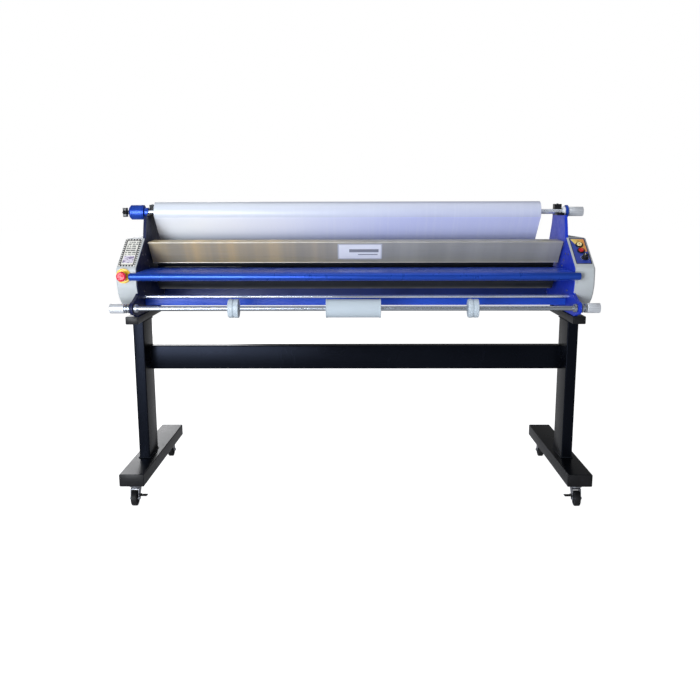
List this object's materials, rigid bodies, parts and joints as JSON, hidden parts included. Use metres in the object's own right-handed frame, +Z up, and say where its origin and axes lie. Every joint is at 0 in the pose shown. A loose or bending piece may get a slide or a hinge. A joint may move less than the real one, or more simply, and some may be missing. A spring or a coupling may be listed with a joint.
{
  "type": "cold roll laminator",
  "caption": "Wide-format cold roll laminator: feed table, nip rollers, top film supply roll and lower front shaft on a black caster stand.",
  "frame": {"origin": "on the floor under the four casters, midway between the two feet across and along the machine", "axes": "+X along the rollers to the operator's right, +Y from the operator's side to the rear, +Z up"},
  "size_m": [1.998, 0.732, 1.229],
  "materials": {
    "black_powder_coat": "satin black powder coat",
    "zinc_steel": "zinc plated, bright",
    "caster_rubber": "matt black",
    "blue_paint": "gloss royal blue paint",
    "cream_paint": "fine textured cream paint",
    "stainless": "brushed along its length",
    "anodised_blue": "blue anodised",
    "roller_rubber": "ground satin silicone rubber",
    "ground_steel": "ground",
    "chrome_rod": "polished",
    "bearing_black": "matt black",
    "motor_grey": "satin grey",
    "film_white": "pale translucent laminating film",
    "black_nylon": "moulded",
    "turned_alloy": "turned, satin anodised",
    "grey_plastic": "moulded light grey",
    "stop_yellow": "moulded yellow",
    "stop_red": "moulded red",
    "button_cream": "moulded cream",
    "control_black": "moulded black"
  },
  "bodies": {
    "frame": {"left_foot": "black_powder_coat", "left_leg": "black_powder_coat", "left_top_rail": "black_powder_coat", "left_side_plate": "blue_paint", "left_end_cover": "cream_paint", "left_shaft_saddle": "black_nylon", "lower_bearing_left": "bearing_black", "right_foot": "black_powder_coat", "right_leg": "black_powder_coat", "right_top_rail": "black_powder_coat", "right_side_plate": "blue_paint", "right_end_cover": "cream_paint", "right_shaft_saddle": "black_nylon", "lower_bearing_right": "bearing_black", "crossbeam": "black_powder_coat", "front_cover": "stainless", "feed_table": "blue_paint", "exit_table": "blue_paint", "lower_front_beam": "blue_paint", "front_tube": "anodised_blue", "gear_motor": "motor_grey", "drive_chain": "ground_steel", "film_web": "film_white", "emergency_stop_ring": "stop_yellow", "power_inlet": "black_nylon"},
    "nip_carriage": {"upper_bearing_left": "bearing_black", "upper_bearing_right": "bearing_black"},
    "upper_nip_roller": {"upper_roller": "roller_rubber", "upper_roller_core": "ground_steel"},
    "lower_nip_roller": {"lower_roller": "roller_rubber", "lower_roller_core": "ground_steel"},
    "drive_sprocket": {"motor_sprocket": "ground_steel"},
    "supply_reel": {"supply_shaft": "chrome_rod", "film_roll": "film_white", "tension_hub": "anodised_blue", "supply_flange": "anodised_blue", "supply_knob": "turned_alloy"},
    "tension_screw": {"tension_knob": "black_nylon"},
    "take_up_reel": {"take_up_shaft": "chrome_rod", "take_up_knob_left": "turned_alloy", "take_up_knob_right": "turned_alloy", "centre_sleeve": "grey_plastic"},
    "left_core_clamp": {"core_holder_left": "grey_plastic"},
    "right_core_clamp": {"core_holder_right": "grey_plastic"},
    "idler": {"idler_rod": "chrome_rod"},
    "film_guide": {"film_guide_rod": "chrome_rod"},
    "stop_head": {"emergency_stop_button": "stop_red"},
    "run_cap": {"run_button": "button_cream"},
    "stop_cap": {"stop_button": "stop_red"},
    "speed_dial": {"speed_knob": "control_black"},
    "swivel_front_left": {"caster_fork_front_left": "zinc_steel"},
    "wheel_front_left": {"caster_wheel_front_left": "caster_rubber"},
    "pedal_front_left": {"brake_pedal_front_left": "zinc_steel"},
    "swivel_front_right": {"caster_fork_front_right": "zinc_steel"},
    "wheel_front_right": {"caster_wheel_front_right": "caster_rubber"},
    "pedal_front_right": {"brake_pedal_front_right": "zinc_steel"},
    "swivel_rear_left": {"caster_fork_rear_left": "zinc_steel"},
    "wheel_rear_left": {"caster_wheel_rear_left": "caster_rubber"},
    "swivel_rear_right": {"caster_fork_rear_right": "zinc_steel"},
    "wheel_rear_right": {"caster_wheel_rear_right": "caster_rubber"}
  },
  "joints": [
    {"name": "nip_lift", "type": "slide", "parent": "frame", "child": "nip_carriage", "axis": [0, 0, 1], "range_m": [0, 0.016]},
    {"name": "upper_roller_spin", "type": "hinge", "parent": "nip_carriage", "child": "upper_nip_roller", "pos_m": [0, 0.088, 0.9958], "axis": [1, 0, 0], "continuous": true},
    {"name": "lower_roller_spin", "type": "hinge", "parent": "frame", "child": "lower_nip_roller", "pos_m": [0, 0.088, 0.8992], "axis": [1, 0, 0], "continuous": true},
    {"name": "motor_sprocket_spin", "type": "hinge", "parent": "frame", "child": "drive_sprocket", "pos_m": [0.92, -0.06, 0.87], "axis": [1, 0, 0], "continuous": true},
    {"name": "supply_spin", "type": "hinge", "parent": "frame", "child": "supply_reel", "pos_m": [0, 0.085, 1.185], "axis": [1, 0, 0], "continuous": true},
    {"name": "tension_screw_turn", "type": "hinge", "parent": "supply_reel", "child": "tension_screw", "pos_m": [-1, 0.085, 1.185], "axis": [1, 0, 0], "range_deg": [-360, 360]},
    {"name": "take_up_spin", "type": "hinge", "parent": "frame", "child": "take_up_reel", "pos_m": [0, -0.275, 0.81], "axis": [1, 0, 0], "continuous": true},
    {"name": "left_core_slide", "type": "slide", "parent": "take_up_reel", "child": "left_core_clamp", "axis": [1, 0, 0], "range_m": [-0.3, 0.3]},
    {"name": "right_core_slide", "type": "slide", "parent": "take_up_reel", "child": "right_core_clamp", "axis": [1, 0, 0], "range_m": [-0.3, 0.3]},
    {"name": "idler_spin", "type": "hinge", "parent": "frame", "child": "idler", "pos_m": [0, -0.135, 0.8415], "axis": [1, 0, 0], "continuous": true},
    {"name": "film_guide_spin", "type": "hinge", "parent": "frame", "child": "film_guide", "pos_m": [0, 0.157, 1.022], "axis": [1, 0, 0], "continuous": true},
    {"name": "emergency_stop_press", "type": "slide", "parent": "frame", "child": "stop_head", "axis": [0, 1, 0], "range_m": [0, 0.004]},
    {"name": "run_button_press", "type": "slide", "parent": "frame", "child": "run_cap", "axis": [0, 0.5738, -0.819], "range_m": [0, 0.003], "stiffness_N_per_m": 800, "springref_m": -0.0005},
    {"name": "stop_button_press", "type": "slide", "parent": "frame", "child": "stop_cap", "axis": [0, 0.5738, -0.819], "range_m": [0, 0.003], "stiffness_N_per_m": 800, "springref_m": -0.0005},
    {"name": "speed_knob_turn", "type": "hinge", "parent": "frame", "child": "speed_dial", "pos_m": [0.938, -0.15938, 0.99996], "axis": [0, -0.5738, 0.819], "range_deg": [-270, 0]},
    {"name": "caster_swivel_front_left", "type": "hinge", "parent": "frame", "child": "swivel_front_left", "pos_m": [-0.906, -0.306, 0.085], "axis": [0, 0, 1], "continuous": true},
    {"name": "caster_wheel_spin_front_left", "type": "hinge", "parent": "swivel_front_left", "child": "wheel_front_left", "pos_m": [-0.906, -0.326, 0.032], "axis": [1, 0, 0], "continuous": true},
    {"name": "brake_pedal_press_front_left", "type": "hinge", "parent": "swivel_front_left", "child": "pedal_front_left", "pos_m": [-0.8835, -0.326, 0.044], "axis": [0, 1, 0], "range_deg": [0, 20]},
    {"name": "caster_swivel_front_right", "type": "hinge", "parent": "frame", "child": "swivel_front_right", "pos_m": [0.906, -0.306, 0.085], "axis": [0, 0, 1], "continuous": true},
    {"name": "caster_wheel_spin_front_right", "type": "hinge", "parent": "swivel_front_right", "child": "wheel_front_right", "pos_m": [0.906, -0.326, 0.032], "axis": [1, 0, 0], "continuous": true},
    {"name": "brake_pedal_press_front_right", "type": "hinge", "parent": "swivel_front_right", "child": "pedal_front_right", "pos_m": [0.8835, -0.326, 0.044], "axis": [0, -1, 0], "range_deg": [0, 20]},
    {"name": "caster_swivel_rear_left", "type": "hinge", "parent": "frame", "child": "swivel_rear_left", "pos_m": [-0.906, 0.306, 0.085], "axis": [0, 0, 1], "continuous": true},
    {"name": "caster_wheel_spin_rear_left", "type": "hinge", "parent": "swivel_rear_left", "child": "wheel_rear_left", "pos_m": [-0.906, 0.326, 0.032], "axis": [1, 0, 0], "continuous": true},
    {"name": "caster_swivel_rear_right", "type": "hinge", "parent": "frame", "child": "swivel_rear_right", "pos_m": [0.906, 0.306, 0.085], "axis": [0, 0, 1], "continuous": true},
    {"name": "caster_wheel_spin_rear_right", "type": "hinge", "parent": "swivel_rear_right", "child": "wheel_rear_right", "pos_m": [0.906, 0.326, 0.032], "axis": [1, 0, 0], "continuous": true}
  ],
  "couplings": [
    {"joint": "upper_roller_spin", "follows": "lower_roller_spin", "ratio": -1},
    {"joint": "motor_sprocket_spin", "follows": "lower_roller_spin", "ratio": 1.7778}
  ]
}
